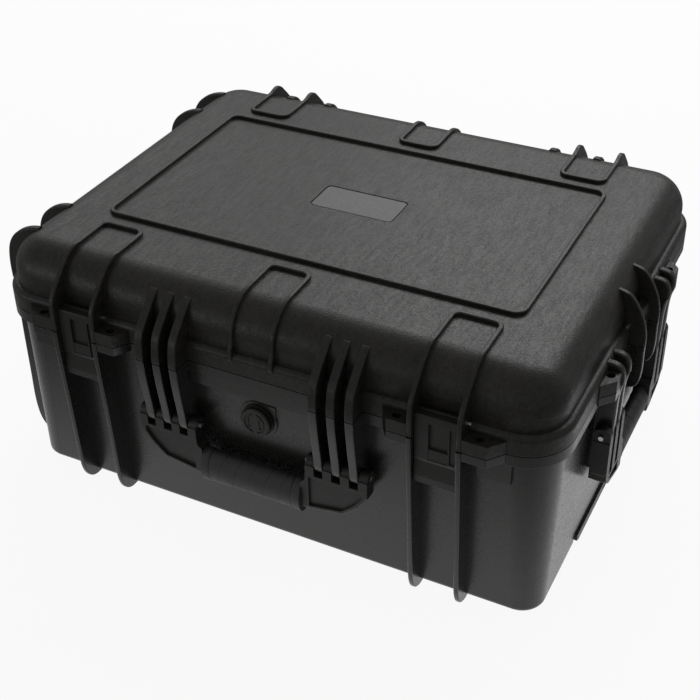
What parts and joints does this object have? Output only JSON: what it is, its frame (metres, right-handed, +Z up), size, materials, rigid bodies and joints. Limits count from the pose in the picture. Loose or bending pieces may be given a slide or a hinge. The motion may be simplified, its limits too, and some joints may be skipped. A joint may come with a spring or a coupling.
{
  "type": "drone carrying case",
  "caption": "Wheeled hard case with a ribbed hinged lid, three latches, folding front and side handles, pull-out trolley handle and a foam bay for a drone.",
  "frame": {"origin": "on the floor, under the middle of the closed case", "axes": "+X along the long side towards the pull handle end, +Y towards the hinges, +Z up; lid closed, handles hanging"},
  "size_m": [0.6484, 0.5151, 0.2865],
  "materials": {
    "lid_plastic": "moulded grain, satin",
    "shell_plastic": "moulded grain, satin",
    "latch_plastic": "smooth moulded, satin",
    "handle_plastic": "smooth moulded, satin",
    "grip_rubber": "matt rubber",
    "valve_plastic": "satin",
    "button_plastic": "satin",
    "bearing_plastic": "natural acetal",
    "wheel_hub": "satin",
    "wheel_tyre": "matt rubber",
    "seal_rubber": "matt rubber",
    "steel": "bright ends",
    "aluminium": "anodised",
    "name_plate": "satin grey, bare",
    "base_foam": "closed-cell foam",
    "lid_foam": "convoluted foam"
  },
  "bodies": {
    "base": {"base_shell": "shell_plastic", "base_ribs": "shell_plastic", "base_blades": "shell_plastic", "base_fins": "shell_plastic", "base_lugs": "shell_plastic", "foam_sheet": "base_foam", "foam_blocks": "base_foam", "hinge_pins": "steel", "front_handle_pins": "steel", "side_handle_pins": "steel", "valve_body": "valve_plastic", "valve_seal": "seal_rubber", "valve_nut": "valve_plastic", "wheel_axles": "steel", "trolley_sleeves": "aluminium", "trolley_guides": "bearing_plastic", "trolley_stops": "bearing_plastic", "trolley_cover": "shell_plastic", "cover_screws": "steel"},
    "lid": {"lid_shell": "lid_plastic", "lid_knuckles": "lid_plastic", "lid_blades": "lid_plastic", "lid_fins": "lid_plastic", "lid_lugs": "lid_plastic", "lid_gasket": "seal_rubber", "name_plate": "name_plate", "lid_foam": "lid_foam", "latch_pins": "steel"},
    "latch_left": {"latch_left": "latch_plastic"},
    "latch_right": {"latch_right": "latch_plastic"},
    "latch_side": {"latch_side": "latch_plastic"},
    "front_handle": {"front_handle_frame": "handle_plastic", "front_handle_grip": "grip_rubber"},
    "side_handle": {"side_handle_frame": "handle_plastic", "side_handle_grip": "grip_rubber"},
    "valve_knob": {"valve_knob": "valve_plastic"},
    "wheel_front": {"wheel_hub_front": "wheel_hub", "wheel_tyre_front": "wheel_tyre", "wheel_bush_front": "bearing_plastic"},
    "wheel_rear": {"wheel_hub_rear": "wheel_hub", "wheel_tyre_rear": "wheel_tyre", "wheel_bush_rear": "bearing_plastic"},
    "trolley": {"trolley_tubes": "aluminium", "trolley_plugs": "bearing_plastic", "trolley_rods": "steel", "trolley_grip": "handle_plastic", "button_spring": "steel"},
    "trolley_button": {"trolley_button": "button_plastic"}
  },
  "joints": [
    {"name": "lid_hinge", "type": "hinge", "parent": "base", "child": "lid", "pos_m": [0, 0.2505, 0.208], "axis": [-1, 0, 0], "range_deg": [0, 95]},
    {"name": "latch_left_pivot", "type": "hinge", "parent": "lid", "child": "latch_left", "pos_m": [-0.1955, -0.235, 0.2285], "axis": [-1, 0, 0], "range_deg": [0, 90]},
    {"name": "latch_right_pivot", "type": "hinge", "parent": "lid", "child": "latch_right", "pos_m": [0.1955, -0.235, 0.2285], "axis": [-1, 0, 0], "range_deg": [0, 90]},
    {"name": "latch_side_pivot", "type": "hinge", "parent": "lid", "child": "latch_side", "pos_m": [0.3048, 0, 0.2285], "axis": [0, -1, 0], "range_deg": [0, 90]},
    {"name": "front_handle_swing", "type": "hinge", "parent": "base", "child": "front_handle", "pos_m": [0, -0.24, 0.133], "axis": [-1, 0, 0], "range_deg": [0, 90]},
    {"name": "side_handle_swing", "type": "hinge", "parent": "base", "child": "side_handle", "pos_m": [0.31, 0, 0.148], "axis": [0, -1, 0], "range_deg": [0, 90]},
    {"name": "valve_turn", "type": "hinge", "parent": "base", "child": "valve_knob", "pos_m": [0, -0.24, 0.153], "axis": [0, -1, 0], "range_deg": [0, 270]},
    {"name": "wheel_front_spin", "type": "hinge", "parent": "base", "child": "wheel_front", "pos_m": [-0.2984, -0.1575, 0.027], "axis": [0, 1, 0], "continuous": true},
    {"name": "wheel_rear_spin", "type": "hinge", "parent": "base", "child": "wheel_rear", "pos_m": [-0.2984, 0.1575, 0.027], "axis": [0, 1, 0], "continuous": true},
    {"name": "trolley_slide", "type": "slide", "parent": "base", "child": "trolley", "axis": [1, 0, 0], "range_m": [0, 0.4]},
    {"name": "button_press", "type": "slide", "parent": "trolley", "child": "trolley_button", "axis": [-1, 0, 0], "range_m": [0, 0.003], "stiffness_N_per_m": 600}
  ]
}
